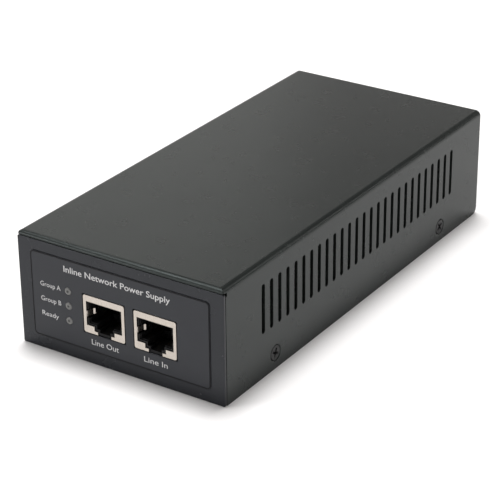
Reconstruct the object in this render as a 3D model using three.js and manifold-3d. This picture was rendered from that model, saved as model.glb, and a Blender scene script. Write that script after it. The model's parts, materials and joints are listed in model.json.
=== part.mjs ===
// PoE injector: a mains-fed power injector for network cables, in a folded steel case.
// Millimetres, +Z up, +X to the right seen from the front, +Y towards the rear.
// The origin is the middle of the footprint, on the surface that the case stands on.
import * as THREE from "three";
import { mergeVertices } from "three/addons/utils/BufferGeometryUtils.js";
import Module from "manifold-3d";

const wasm = await Module();
wasm.setup();

// Case
const WIDTH = 80;
const DEPTH = 169;
const HEIGHT = 41;
const SHEET = 1; // steel sheet of the cover and the tray
const BEND_RADIUS = 2; // outer radius of the cover's two long bends
const LIP_RADIUS = 1.5; // outer radius of the lip over the front panel
const LIP_INSET = 0.5; // the lip stops this far short of each side
const SEAM = 0.3; // between the lip and the front panel's top edge
const SIDE_GAP = 0.25; // between the front panel's back and the cover's sides
const PANEL_CORNER = 0.6;
const FIT = 0.3; // between the cover and what it slides over
const JACK_PROUD = 0.2; // jack faces stand this far in front of the panel
const INLET_PROUD = 1.7; // inlet flange stands this far behind the cover
const REAR_INSET = 0.4; // rear panel lies this far inside the cover's rear edge
const FRONT = -(DEPTH + JACK_PROUD + INLET_PROUD) / 2 + JACK_PROUD;
const REAR = FRONT + DEPTH;
const MIDDLE = (FRONT + REAR) / 2;
const HALF = WIDTH / 2;
const INNER = HALF - SHEET; // inside face of a cover side
const PANEL_TOP = HEIGHT - LIP_RADIUS - 0.1 - SEAM;
const PANEL_BACK = REAR - REAR_INSET; // outer face of the rear panel
const FLANGE_TOP = 13;
const PAST = 1; // cutters run this far past the faces they cut

// Vent slots in both sides
const SLOTS = 27;
const SLOT_PITCH = 4.8;
const SLOT_WIDTH = 1.9;
const SLOT_MIDDLE = MIDDLE - 0.1;
const SLOT_Z = [15.95, 33.5];

// Countersunk cover screws
const SCREW_Y = 55.4; // in front of and behind the middle of the case
const SCREW_Z = 5.7;
const HEAD_RADIUS = 2.8;
const SHANK_RADIUS = 1.5;
const SINK_RADIUS = 3.05;
const THREAD_HOLE = 1.65;

// Circuit board
const BOARD_TOP = 11.3;
const BOARD_THICK = 1.6;
const BOARD_HALF = 36.7;
const BOARD_Y = [FRONT + 1.5, 51.5];
const STANDOFF_X = 31.5;
const STANDOFF_Y = [FRONT + 14, 44];

// Network jacks, tab down
const JACK_X = [-6, 14];
const JACK = { width: 16.2, height: 13.4, depth: 21.5, sheet: 0.25 };
const JACK_FACE = FRONT - JACK_PROUD;
const WINDOW = { half: 7, bottom: 13.95, top: 22.55 }; // opening in the shield's face
const WINDOW_STEP = { half: 4, bottom: 12.35 };
const WINDOW_NOTCH_HALF = 2.68;
const CAVITY = { half: 5.95, bottom: 14.95, top: 21.8, depth: 13 };
const KEYWAY = { half: 3.2, bottom: 13.25, depth: 9 };
const KEYWAY_SLOT = { half: 2.1, bottom: 12.2 };
const CONTACTS = 8;
const CONTACT_PITCH = 1.02;
const CONTACT_PIVOT = { back: 3.2, z: 22.05 }; // bend line of the wires, behind the jack's face
const CONTACT_REACH = 6.6;
const CONTACT_SLOPE = THREE.MathUtils.degToRad(22);

// Front label and status lights
const LABEL = { half: 34.9, bottom: 4.65, top: 35.35, radius: 1.5, thick: 0.25 };
const LIGHT_X = -20.1;
const LIGHT_Z = [24, 18.65, 13.3];
const LIGHT_RADIUS = 1.35;
const LIGHT_GAP = 0.1;

// Mains inlet
const INLET_Z = 20.5;
const INLET = { halfX: 13.6, halfZ: 9.9, flangeX: 24.5, flangeZ: 11.2, back: 65 };
const RECESS = { halfX: 12.1, halfZ: 8.1, bevel: 4.5, floor: 69.2 };
const PIN_X = 7;
const PIN_OFFSET = 2; // earth pin above, line and neutral below the middle
const PIN_TIP = 80;
const PIN_END = 57.5;
const INLET_SCREW_X = 20;

const powderCoat = { color: 0x3b3d40, roughness: 0.5, metalness: 0.2 };
const steel = { color: 0xb9bbbd, roughness: 0.35, metalness: 0.9 };
const blackSteel = { color: 0x26272a, roughness: 0.45, metalness: 0.6 };
const nickel = { color: 0xd9d2c6, roughness: 0.3, metalness: 0.8 };
const gold = { color: 0xd8b45a, roughness: 0.25, metalness: 1 };
const brass = { color: 0xc9a85c, roughness: 0.35, metalness: 0.9 };
const aluminium = { color: 0xa9acb0, roughness: 0.4, metalness: 0.9 };
const blackPlastic = { color: 0x161616, roughness: 0.5, metalness: 0 };
const ferrite = { color: 0x2c2b2c, roughness: 0.7, metalness: 0.1 };
const board = { color: 0x1f5a34, roughness: 0.45, metalness: 0 };
const labelFilm = { color: 0x3f4248, roughness: 0.5, metalness: 0 };
const lens = { color: 0xb9bab4, roughness: 0.2, metalness: 0 };
const fishPaper = { color: 0xcfc9b4, roughness: 0.8, metalness: 0 };
const copper = { color: 0xb5713b, roughness: 0.4, metalness: 0.7 };
const yellowFilm = { color: 0xd6b13a, roughness: 0.45, metalness: 0 };
const boxFilm = { color: 0xc2b48a, roughness: 0.55, metalness: 0 };
const blueSleeve = { color: 0x24406f, roughness: 0.35, metalness: 0 };

const injector = new THREE.Group();

// ---- Solids -------------------------------------------------------------------------------

function toSolid(geometry) {
  geometry.deleteAttribute("normal");
  geometry.deleteAttribute("uv");
  const merged = mergeVertices(geometry, 1e-4);
  const vertProperties = new Float32Array(merged.attributes.position.array);
  const triVerts = new Uint32Array(merged.index.array);
  return new wasm.Manifold(new wasm.Mesh({ numProp: 3, vertProperties, triVerts }));
}

function toGeometry(solid) {
  const { vertProperties, triVerts } = solid.getMesh();
  const geometry = new THREE.BufferGeometry();
  geometry.setAttribute("position", new THREE.BufferAttribute(vertProperties, 3));
  geometry.setIndex(new THREE.BufferAttribute(triVerts, 1));
  geometry.computeVertexNormals();
  return geometry;
}

function addMesh(name, solidOrGeometry, finish, place = [0, 0, 0], parent = injector) {
  const isGeometry = solidOrGeometry instanceof THREE.BufferGeometry;
  const geometry = isGeometry ? solidOrGeometry : toGeometry(solidOrGeometry);
  const mesh = new THREE.Mesh(geometry, new THREE.MeshStandardMaterial(finish));
  mesh.name = name;
  mesh.position.set(...place);
  parent.add(mesh);
  return mesh;
}

function block([x0, x1], [y0, y1], [z0, z1]) {
  const geometry = new THREE.BoxGeometry(x1 - x0, y1 - y0, z1 - z0);
  return toSolid(geometry.translate((x0 + x1) / 2, (y0 + y1) / 2, (z0 + z1) / 2));
}

// An outline drawn in the two other axes, in X, Y, Z order, and pushed along the third.
function prism(shape, axis, from, to, curveSegments = 3) {
  const geometry = new THREE.ExtrudeGeometry(shape, {
    depth: to - from,
    bevelEnabled: false,
    curveSegments,
  });
  const u = new THREE.Vector3(axis === "x" ? 0 : 1, axis === "x" ? 1 : 0, 0);
  const v = new THREE.Vector3(0, axis === "z" ? 1 : 0, axis === "z" ? 0 : 1);
  const w = new THREE.Vector3().crossVectors(u, v);
  geometry.applyMatrix4(new THREE.Matrix4().makeBasis(u, v, w));
  const start = { x: [from, 0, 0], y: [0, to, 0], z: [0, 0, from] }[axis];
  return toSolid(geometry.translate(...start));
}

// A round bar or tapered plug along an axis, centred on the other two coordinates.
function bar(axis, [a, b], radiusFrom, from, to, segments = 24, radiusTo = radiusFrom) {
  const geometry = new THREE.CylinderGeometry(radiusTo, radiusFrom, to - from, segments);
  const middle = (from + to) / 2;
  if (axis === "x") {
    geometry.rotateZ(-Math.PI / 2).translate(middle, a, b);
  } else if (axis === "y") {
    geometry.translate(a, middle, b);
  } else {
    geometry.rotateX(Math.PI / 2).translate(a, b, middle);
  }
  return toSolid(geometry);
}

function polygon(points) {
  return new THREE.Shape(points.map(([u, v]) => new THREE.Vector2(u, v)));
}

function roundedRectangle(u0, u1, v0, v1, radius) {
  const shape = new THREE.Shape();
  shape.absarc(u1 - radius, v1 - radius, radius, 0, Math.PI / 2);
  shape.absarc(u0 + radius, v1 - radius, radius, Math.PI / 2, Math.PI);
  shape.absarc(u0 + radius, v0 + radius, radius, Math.PI, 1.5 * Math.PI);
  shape.absarc(u1 - radius, v0 + radius, radius, 1.5 * Math.PI, 2 * Math.PI);
  return shape;
}

function joined(solids) {
  return solids.reduce((whole, next) => whole.add(next));
}

function cut(solid, cutters) {
  return solid.subtract(joined(cutters));
}

const bothSides = [-1, 1];
const span = (middle, half) => [middle - half, middle + half];

// ---- Cover --------------------------------------------------------------------------------

// The cover's section: a flat top and two sides, as a sheet or as the filled outline.
function coverSection(filled) {
  const shape = new THREE.Shape();
  const bendX = HALF - BEND_RADIUS;
  const bendZ = HEIGHT - BEND_RADIUS;
  const inside = BEND_RADIUS - SHEET;
  shape.moveTo(HALF, 0);
  shape.absarc(bendX, bendZ, BEND_RADIUS, 0, Math.PI / 2);
  shape.absarc(-bendX, bendZ, BEND_RADIUS, Math.PI / 2, Math.PI);
  shape.lineTo(-HALF, 0);
  if (!filled) {
    shape.lineTo(-INNER, 0);
    shape.absarc(-bendX, bendZ, inside, Math.PI, Math.PI / 2, true);
    shape.absarc(bendX, bendZ, inside, Math.PI / 2, 0, true);
    shape.lineTo(INNER, 0);
  }
  return shape;
}

// The front lip's section across the case: the top sheet turned down over the panel.
function lipSection(filled) {
  const shape = new THREE.Shape();
  const y = FRONT + LIP_RADIUS;
  const z = HEIGHT - LIP_RADIUS;
  const end = PANEL_TOP + SEAM;
  shape.moveTo(y, HEIGHT);
  shape.absarc(y, z, LIP_RADIUS, Math.PI / 2, Math.PI);
  shape.lineTo(FRONT, end);
  if (filled) {
    shape.lineTo(y, end);
  } else {
    shape.lineTo(FRONT + SHEET, end);
    shape.absarc(y, z, LIP_RADIUS - SHEET, Math.PI, Math.PI / 2, true);
  }
  return shape;
}

function ventSlots() {
  const radius = SLOT_WIDTH / 2;
  const first = SLOT_MIDDLE - ((SLOTS - 1) / 2) * SLOT_PITCH;
  const cutters = [];
  for (let i = 0; i < SLOTS; i += 1) {
    const [y0, y1] = span(first + i * SLOT_PITCH, radius);
    const shape = roundedRectangle(y0, y1, ...SLOT_Z, radius - 0.01);
    cutters.push(prism(shape, "x", -HALF - PAST, HALF + PAST, 1));
  }
  return cutters;
}

function coverShell() {
  const sheetStart = FRONT + SHEET + SIDE_GAP;
  const cornerStart = FRONT + 0.5;
  const lipHalf = HALF - LIP_INSET;
  const lipEnd = PANEL_TOP + SEAM;
  const body = prism(coverSection(false), "y", sheetStart, REAR);
  const outline = prism(coverSection(true), "y", FRONT, REAR);
  const lip = prism(lipSection(false), "x", -lipHalf, lipHalf).intersect(outline);
  const corners = bothSides.map((side) => {
    const x = side < 0 ? [-HALF, -lipHalf] : [lipHalf, HALF];
    return block(x, [cornerStart, sheetStart], [lipEnd, HEIGHT])
      .intersect(prism(coverSection(false), "y", FRONT, sheetStart))
      .intersect(prism(lipSection(true), "x", -HALF, HALF));
  });
  const whole = joined([body, lip, ...corners]);

  const reliefY = FRONT + 1.4;
  const relief = roundedRectangle(...span(reliefY, 0.5), 37.95, lipEnd, 0.45);
  const cornerRadius = 2.5;
  const cornerCut = new THREE.Shape();
  cornerCut.moveTo(REAR + PAST, -PAST);
  cornerCut.lineTo(REAR + PAST, cornerRadius);
  cornerCut.lineTo(REAR, cornerRadius);
  cornerCut.absarc(REAR - cornerRadius, cornerRadius, cornerRadius, 0, -Math.PI / 2, true);
  cornerCut.lineTo(REAR - cornerRadius, -PAST);
  const cutters = [...ventSlots(), prism(cornerCut, "x", -HALF - PAST, HALF + PAST)];
  for (const side of bothSides) {
    const x = side < 0 ? [-HALF - PAST, -HALF + 1.5] : [HALF - 1.5, HALF + PAST];
    cutters.push(prism(relief, "x", ...x, 1));
    for (const end of bothSides) {
      // a 90 degree countersink that runs through the sheet
      const place = [MIDDLE + end * SCREW_Y, SCREW_Z];
      const outer = SINK_RADIUS + PAST;
      const inner = SINK_RADIUS - SHEET - 0.2;
      const deep = SHEET + 0.2;
      if (side > 0) {
        cutters.push(bar("x", place, inner, HALF - deep, HALF + PAST, 20, outer));
      } else {
        cutters.push(bar("x", place, outer, -HALF - PAST, -HALF + deep, 20, inner));
      }
    }
  }
  return cut(whole, cutters);
}

// ---- Tray ---------------------------------------------------------------------------------

function baseTray() {
  const trayHalf = INNER - FIT;
  const panelInside = PANEL_BACK - SHEET;
  const bossHeight = 1.2;
  const frontPanel = roundedRectangle(-HALF, HALF, 0, PANEL_TOP, PANEL_CORNER);
  const parts = [
    block([-trayHalf, trayHalf], [FRONT, PANEL_BACK], [0, SHEET]),
    prism(frontPanel, "y", FRONT, FRONT + SHEET),
    block([-trayHalf, trayHalf], [panelInside, PANEL_BACK], [0, HEIGHT - SHEET - FIT]),
  ];
  const cutters = [];
  for (const side of bothSides) {
    const wall = side < 0 ? [-trayHalf, SHEET - trayHalf] : [trayHalf - SHEET, trayHalf];
    parts.push(block(wall, [FRONT + 4, REAR - 6], [0, FLANGE_TOP]));
    const rim = side < 0 ? wall[1] : wall[0] - bossHeight;
    for (const end of bothSides) {
      const place = [MIDDLE + end * SCREW_Y, SCREW_Z];
      parts.push(bar("x", place, 2.6, rim, rim + bossHeight, 16));
      cutters.push(bar("x", place, THREAD_HOLE, rim - 3, rim + 4, 20));
    }
    const inletHole = bar("y", [side * INLET_SCREW_X, INLET_Z], 1.75, panelInside - PAST,
      PANEL_BACK + PAST, 20);
    cutters.push(inletHole);
  }
  const frontCut = [FRONT - PAST, FRONT + SHEET + PAST];
  for (const x of JACK_X) {
    const jackGap = 0.25;
    cutters.push(block(span(x, JACK.width / 2 + jackGap), frontCut,
      [BOARD_TOP - jackGap, BOARD_TOP + JACK.height + jackGap]));
  }
  for (const z of LIGHT_Z) {
    cutters.push(bar("y", [LIGHT_X, z], LIGHT_RADIUS + LIGHT_GAP, ...frontCut, 20));
  }
  cutters.push(block(span(0, INLET.halfX + 0.3), [panelInside - PAST, PANEL_BACK + PAST],
    span(INLET_Z, INLET.halfZ + 0.3)));
  cutters.push(bar("z", [0, 58], THREAD_HOLE, -PAST, SHEET + PAST, 20));
  return cut(joined(parts), cutters);
}

function frontLabel() {
  const outline = roundedRectangle(-LABEL.half, LABEL.half, LABEL.bottom, LABEL.top,
    LABEL.radius);
  const film = prism(outline, "y", FRONT - LABEL.thick, FRONT, 2);
  const depth = [FRONT - PAST, FRONT + PAST];
  const margin = 0.35;
  const windows = JACK_X.map((x) => block(span(x, JACK.width / 2 + margin), depth,
    [BOARD_TOP - margin, BOARD_TOP + JACK.height + margin]));
  const lights = LIGHT_Z.map((z) => bar("y", [LIGHT_X, z], LIGHT_RADIUS + LIGHT_GAP, ...depth, 20));
  return cut(film, [...windows, ...lights]);
}

// ---- Screws -------------------------------------------------------------------------------

// Screws are drawn upright: the head's face at z = 0 and the shank below it.
function crossRecess(reach, width, depth) {
  const arm = [-width / 2, width / 2];
  const long = [-reach, reach];
  const high = [-depth, PAST];
  return joined([block(long, arm, high), block(arm, long, high)]);
}

function countersunkScrew(length) {
  const cone = HEAD_RADIUS - SHANK_RADIUS;
  const profile = [[0, 0], [HEAD_RADIUS, 0], [SHANK_RADIUS, -cone], [SHANK_RADIUS, -length],
    [0, -length]];
  return turned(profile, 20).subtract(crossRecess(1.55, 0.7, 0.9));
}

function panScrew(length) {
  const profile = [[0, 1.9], [1.7, 1.75], [2.6, 1.1], [2.7, 0], [SHANK_RADIUS, 0],
    [SHANK_RADIUS, -length], [0, -length]];
  const recess = crossRecess(1.4, 0.6, 0.6).translate([0, 0, 1.5]);
  return turned(profile, 16).subtract(recess);
}

// A profile of [radius, height] pairs from the top to the bottom, turned about Z.
function turned(profile, segments) {
  const points = profile.map(([r, h]) => new THREE.Vector2(r, h)).reverse();
  return toSolid(new THREE.LatheGeometry(points, segments).rotateX(Math.PI / 2));
}

function addCoverScrews() {
  let number = 1;
  for (const side of bothSides) {
    for (const end of bothSides) {
      const place = [side * (HALF - 0.05), MIDDLE + end * SCREW_Y, SCREW_Z];
      const screw = addMesh(`cover_screw_${number}`, countersunkScrew(5), blackSteel, place);
      screw.rotation.set(0, (side * Math.PI) / 2, 0);
      number += 1;
    }
  }
}

function nut(name, place) {
  const hexagon = new THREE.CylinderGeometry(3.15, 3.15, 2.3, 6).rotateY(Math.PI / 6);
  const body = toSolid(hexagon).subtract(bar("y", [0, 0], THREAD_HOLE, -3, 3, 16));
  addMesh(name, body, steel, place);
}

// ---- Circuit board ------------------------------------------------------------------------

function addBoard() {
  const under = BOARD_TOP - BOARD_THICK;
  const corners = STANDOFF_Y.flatMap((y) => bothSides.map((side) => [side * STANDOFF_X, y]));
  const holes = corners.map((place) => bar("z", place, 1.75, under - PAST, BOARD_TOP + PAST, 16));
  const panel = block([-BOARD_HALF, BOARD_HALF], BOARD_Y, [under, BOARD_TOP]);
  addMesh("main_board", cut(panel, holes), board);
  corners.forEach(([x, y], i) => {
    const hexagon = bar("z", [0, 0], 3.2, SHEET, under, 6);
    const bore = bar("z", [0, 0], THREAD_HOLE, under - 6, under + PAST, 16);
    addMesh(`board_standoff_${i + 1}`, hexagon.subtract(bore), brass, [x, y, 0]);
    addMesh(`board_screw_${i + 1}`, panScrew(6), steel, [x, y, BOARD_TOP]);
  });

  const sheetY = [-38, 62];
  const clear = [...corners, [0, 58]].map((place) => bar("z", place, 4.4, 0, 3, 16));
  const insulation = block([-35, 35], sheetY, [SHEET, SHEET + 0.4]);
  addMesh("insulation_sheet", cut(insulation, clear), fishPaper);
}

// ---- Network jacks ------------------------------------------------------------------------

// All jack pieces are drawn with the jack's middle at x = 0.
function jackShield() {
  const half = JACK.width / 2;
  const inside = half - JACK.sheet;
  const top = BOARD_TOP + JACK.height;
  const back = JACK_FACE + JACK.depth;
  const outer = prism(roundedRectangle(-half, half, BOARD_TOP, top, 0.5), "y", JACK_FACE, back, 1);
  const through = [JACK_FACE - PAST, JACK_FACE + PAST];
  const shell = cut(outer, [
    block([-inside, inside], [JACK_FACE + JACK.sheet, back - JACK.sheet],
      [BOARD_TOP - PAST, top - JACK.sheet]),
    block([-WINDOW.half, WINDOW.half], through, [WINDOW.bottom, WINDOW.top]),
    block([-WINDOW_STEP.half, WINDOW_STEP.half], through, [WINDOW_STEP.bottom, WINDOW.top]),
    block([-WINDOW_NOTCH_HALF, WINDOW_NOTCH_HALF], through, [BOARD_TOP - PAST, WINDOW.top]),
  ]);
  // a grounding finger on each side: folded in from the window's edge, straight back along
  // the wall, then bent sharply inwards to the crest that touches the plug
  const fingers = bothSides.map((side) => {
    const root = WINDOW.half + 0.1;
    const inward = [[root, 0], [6.9, 0.1], [6.55, 0.55], [6.2, 1.3], [6.05, 2.7], [5.6, 3.12],
      [5.6, 3.7], [5.8, 5.2]];
    const outward = [[6.0, 5.1], [5.82, 3.65], [5.82, 3.25], [6.28, 2.82], [6.42, 1.4],
      [6.74, 0.72], [6.95, 0.4], [root, JACK.sheet]];
    const outline = [...inward, ...outward].map(([x, y]) => [side * x, JACK_FACE + y]);
    return prism(polygon(outline), "z", 16.8, 19);
  });
  return joined([shell, ...fingers]);
}

function jackHousing() {
  const gap = 0.1;
  const half = JACK.width / 2 - JACK.sheet - gap;
  const front = JACK_FACE + JACK.sheet + gap;
  const back = JACK_FACE + JACK.depth - JACK.sheet - gap;
  const top = BOARD_TOP + JACK.height - JACK.sheet - gap;
  const depth = (reach) => [front - PAST, JACK_FACE + reach];
  const mouth = 0.6;
  const combHalf = (CONTACTS * CONTACT_PITCH) / 2 + 0.5;
  const fingerDepth = depth(6.2);
  return cut(block([-half, half], [front, back], [BOARD_TOP, top]), [
    block([-CAVITY.half, CAVITY.half], depth(CAVITY.depth), [CAVITY.bottom, CAVITY.top]),
    block(span(0, CAVITY.half + mouth / 2), depth(mouth + 0.3),
      [CAVITY.bottom - mouth / 2, CAVITY.top + mouth / 2]),
    block([-KEYWAY.half, KEYWAY.half], depth(KEYWAY.depth), [KEYWAY.bottom, CAVITY.top]),
    block([-KEYWAY_SLOT.half, KEYWAY_SLOT.half], depth(KEYWAY.depth),
      [KEYWAY_SLOT.bottom, CAVITY.top]),
    // room above the plug for the contact wires, and at each side for the fingers
    block([-combHalf, combHalf], [JACK_FACE + 2.2, JACK_FACE + 11.6], [CAVITY.top - 1, 23.3]),
    block(span(0, WINDOW.half + 0.15), fingerDepth, [16.5, 19.4]),
  ]);
}

// The eight contact wires, sloping down and back from one moulded strip at their bend line.
function jackContacts() {
  const strip = block(span(0, (CONTACTS * CONTACT_PITCH) / 2 + 0.1), [-0.4, 0.4], [-0.4, 0.4]);
  const wires = [];
  const drop = Math.sin(CONTACT_SLOPE) * CONTACT_REACH;
  const run = Math.cos(CONTACT_SLOPE) * CONTACT_REACH;
  const section = polygon([[0, 0.2], [run, 0.15 - drop], [run + 1.2, 0.6 - drop],
    [run + 1.2, 0.3 - drop], [run, -0.15 - drop], [0, -0.1]]);
  for (let i = 0; i < CONTACTS; i += 1) {
    const x = (i - (CONTACTS - 1) / 2) * CONTACT_PITCH;
    wires.push(prism(section, "x", x - 0.23, x + 0.23));
  }
  return joined([strip, ...wires]);
}

function addJacks() {
  JACK_X.forEach((x, i) => {
    const jack = new THREE.Group();
    jack.position.set(x, 0, 0);
    injector.add(jack);
    addMesh(`jack_${i + 1}_shield`, jackShield(), nickel, [0, 0, 0], jack);
    addMesh(`jack_${i + 1}_housing`, jackHousing(), blackPlastic, [0, 0, 0], jack);
    const pivot = [0, JACK_FACE + CONTACT_PIVOT.back, CONTACT_PIVOT.z];
    addMesh(`jack_${i + 1}_contacts`, jackContacts(), gold, pivot, jack);
  });
}

// ---- Status lights ------------------------------------------------------------------------

function addLights() {
  const holderY = [FRONT + 1.4, FRONT + 7.5];
  const holderTop = LIGHT_Z[0] + 2.4;
  const holder = block(span(LIGHT_X, 2.6), holderY, [BOARD_TOP, holderTop]);
  const bores = LIGHT_Z.map((z) => bar("y", [LIGHT_X, z], 1.85, FRONT, FRONT + 6.6, 16));
  addMesh("light_holder", cut(holder, bores), blackPlastic);
  const dish = [[0, -0.24], [0.3, -0.2], [0.5, 0], [1, -0.03], [1.25, -0.15], [LIGHT_RADIUS, -0.35]];
  const tail = [[LIGHT_RADIUS, -4.4], [1.65, -4.4], [1.65, -5.6], [0, -5.6]];
  LIGHT_Z.forEach((z, i) => {
    const place = [LIGHT_X, FRONT - LABEL.thick - 0.15, z];
    const light = addMesh(`status_light_${i + 1}`, turned([...dish, ...tail], 14), lens, place);
    light.rotation.set(Math.PI / 2, 0, 0);
  });
}

// ---- Parts on the board -------------------------------------------------------------------

function onBoard(halfX, halfY, height) {
  return block([-halfX, halfX], [-halfY, halfY], [0, height]);
}

function addCapacitor(name, place, radius, height) {
  const groove = height - 1.6;
  const profile = [[0, height], [radius - 0.7, height], [radius, height - 0.7],
    [radius, groove], [radius - 0.4, groove - 0.5], [radius, groove - 1], [radius, 0.6],
    [radius - 0.5, 0], [0, 0]];
  addMesh(name, turned(profile, 16), blueSleeve, [...place, BOARD_TOP]);
}

// A power package standing against its heatsink, with a hole for its clamping screw.
function addPowerPackage(name, place) {
  const body = block([-5, 5], [-2.3, 0], [4, 13]);
  const tab = block([-5, 5], [-1.3, 0], [12, 20]);
  const legs = [-2.54, 0, 2.54].map((x) => block(span(x, 0.4), [-1.6, -1.1], [0, 5]));
  const hole = bar("y", [0, 17], 1.8, -4, 1, 16);
  addMesh(name, cut(joined([body, tab, ...legs]), [hole]), blackPlastic, place);
}

function addHeatsink(name, place, fins) {
  const plate = block([-15, 15], [0, 2.5], [0, 26]);
  const ribs = [];
  for (let i = 0; i < fins; i += 1) {
    const x = -15 + (30 * i) / (fins - 1);
    const inward = Math.max(-14.4, Math.min(14.4, x));
    ribs.push(block(span(inward, 0.6), [2, 7], [0, 26]));
  }
  addMesh(name, joined([plate, ...ribs]), aluminium, place);
}

function addTransformer() {
  const place = [-2, 0, BOARD_TOP];
  const window = [block([-11.5, 11.5], [-8, 8], [5, 19])];
  const frame = cut(block([-16, 16], [-5.5, 5.5], [1, 23]), window);
  const core = frame.add(block([-4.5, 4.5], [-4.5, 4.5], [4, 20]));
  addMesh("transformer_core", core, ferrite, place);
  const coil = cut(onBoard(10.8, 10.8, 13.4).translate([0, 0, 5.3]), [
    block([-4.8, 4.8], [-4.8, 4.8], [0, 30]),
  ]);
  addMesh("transformer_coil", coil, yellowFilm, place);
}

function addChoke() {
  const ringRadius = 7;
  const turnRadius = 3.2;
  const centre = ringRadius + turnRadius + 1;
  const ring = new THREE.TorusGeometry(ringRadius, turnRadius, 6, 16).rotateX(Math.PI / 2);
  addMesh("common_mode_choke", toSolid(ring), copper, [-21, 40, BOARD_TOP + centre]);
  const saddle = bar("y", [0, centre], ringRadius + turnRadius + 0.2, -6, 6, 24);
  addMesh("choke_base", cut(onBoard(7, 4.2, 5), [saddle]), blackPlastic, [-21, 40, BOARD_TOP]);
}

function addBoardParts() {
  const top = BOARD_TOP;
  JACK_X.forEach((x, i) => {
    addMesh(`line_transformer_${i + 1}`, onBoard(6.5, 7.5, 6), blackPlastic, [x, -54, top]);
  });
  addMesh("power_controller", onBoard(4, 4, 1.2), blackPlastic, [-26, -52, top]);
  const drum = [[0, 8], [5.6, 8], [6.2, 7.4], [6.2, 0.6], [5.6, 0], [0, 0]];
  addMesh("output_choke", turned(drum, 20), ferrite, [29, -54, top]);
  addCapacitor("output_capacitor_1", [-27, -30], 5, 22);
  addCapacitor("output_capacitor_2", [-15, -30], 5, 22);
  addHeatsink("output_heatsink", [12, -27, top], 6);
  addPowerPackage("output_rectifier", [12, -27.3, top]);
  addTransformer();
  addMesh("opto_coupler", onBoard(3.2, 2.4, 3.6), blackPlastic, [24, -6, top]);
  addCapacitor("bulk_capacitor", [21, 14], 9, 26);
  addHeatsink("switch_heatsink", [-14, 20, top], 6);
  addPowerPackage("power_switch", [-14, 19.7, top]);
  addMesh("bridge_rectifier", onBoard(10.5, 1.8, 18), blackPlastic, [14, 28, top]);
  addChoke();
  addMesh("line_capacitor", onBoard(9, 4.2, 15), boxFilm, [3, 36, top]);
  addMesh("mains_fuse", onBoard(4.2, 2.1, 8), blackPlastic, [24, 38, top]);
}

// ---- Mains inlet --------------------------------------------------------------------------

const pins = [
  { name: "line", x: -PIN_X, z: INLET_Z - PIN_OFFSET },
  { name: "neutral", x: PIN_X, z: INLET_Z - PIN_OFFSET },
  { name: "earth", x: 0, z: INLET_Z + PIN_OFFSET },
];

function recessOutline() {
  const { halfX, halfZ, bevel } = RECESS;
  const [low, high] = span(INLET_Z, halfZ);
  return polygon([[-halfX, low], [halfX, low], [halfX, high - bevel], [halfX - bevel, high],
    [bevel - halfX, high], [-halfX, high - bevel]]);
}

function inletBody() {
  const face = REAR + INLET_PROUD;
  const flange = prism(roundedRectangle(-INLET.flangeX, INLET.flangeX,
    ...span(INLET_Z, INLET.flangeZ), 4), "y", PANEL_BACK, face, 2);
  const body = block(span(0, INLET.halfX), [INLET.back, PANEL_BACK + 0.5],
    span(INLET_Z, INLET.halfZ));
  const cutters = [prism(recessOutline(), "y", RECESS.floor, face + PAST)];
  for (const side of bothSides) {
    const place = [side * INLET_SCREW_X, INLET_Z];
    cutters.push(bar("y", place, 1.75, PANEL_BACK - PAST, face + PAST, 20));
    const inner = SINK_RADIUS - 1.6;
    cutters.push(bar("y", place, inner, face - 1.6, face + PAST, 20, SINK_RADIUS + PAST));
  }
  for (const { x, z } of pins) {
    cutters.push(block(span(x, 1.1), [INLET.back - PAST, RECESS.floor + PAST], span(z, 2.1)));
  }
  return cut(flange.add(body), cutters);
}

function addInlet() {
  addMesh("inlet_body", inletBody(), blackPlastic);
  for (const { name, x, z } of pins) {
    const tip = name === "earth" ? PIN_TIP + 1 : PIN_TIP;
    const blade = block(span(x, 1), [INLET.back - 1, tip], span(z, 2));
    const tab = block(span(x, 0.4), [PIN_END, INLET.back], span(z, 2.4));
    addMesh(`${name}_pin`, blade.add(tab), nickel);
  }
  bothSides.forEach((side, i) => {
    const x = side * INLET_SCREW_X;
    const place = [x, REAR + INLET_PROUD - 0.1, INLET_Z];
    const screw = addMesh(`inlet_screw_${i + 1}`, countersunkScrew(8), blackSteel, place);
    screw.rotation.set(-Math.PI / 2, 0, 0);
    nut(`inlet_nut_${i + 1}`, [x, PANEL_BACK - SHEET - 1.25, INLET_Z]);
  });
}

function wire(points, radius) {
  const path = new THREE.CatmullRomCurve3(points.map((p) => new THREE.Vector3(...p)));
  const section = new THREE.Shape();
  section.absarc(0, 0, radius, 0, 2 * Math.PI);
  return toSolid(new THREE.ExtrudeGeometry(section, {
    steps: 12,
    curveSegments: 4,
    extrudePath: path,
  }));
}

function addWiring() {
  const low = INLET_Z - PIN_OFFSET;
  const start = PIN_END - 0.4;
  const insulation = { roughness: 0.5, metalness: 0 };
  for (const side of bothSides) {
    const x = side * PIN_X;
    const points = [[x, start, low], [x, start - 4, low], [x * 1.2, 49.5, low - 1.4],
      [x * 1.5, 47, 15], [x * 1.5, 46.6, BOARD_TOP + 0.1]];
    const name = side < 0 ? "line_wire" : "neutral_wire";
    const color = side < 0 ? 0x5a3a22 : 0x2a4d8f;
    addMesh(name, wire(points, 1), { color, ...insulation });
  }
  const lug = 58;
  const high = INLET_Z + PIN_OFFSET;
  const points = [[0, start, high], [0, start - 2.6, high - 0.6], [0, start - 3.4, 14],
    [0, start - 3, 5], [0, lug - 5, SHEET + 1.4]];
  addMesh("earth_wire", wire(points, 1), { color: 0x5f8f3a, ...insulation });
  const ring = bar("z", [0, lug], 3.6, SHEET, SHEET + 0.8, 20);
  const hole = bar("z", [0, lug], 1.75, 0, 3, 16);
  addMesh("earth_terminal", ring.subtract(hole), nickel);
  addMesh("earth_screw", panScrew(1.7), steel, [0, lug, SHEET + 0.8]);
}

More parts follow.
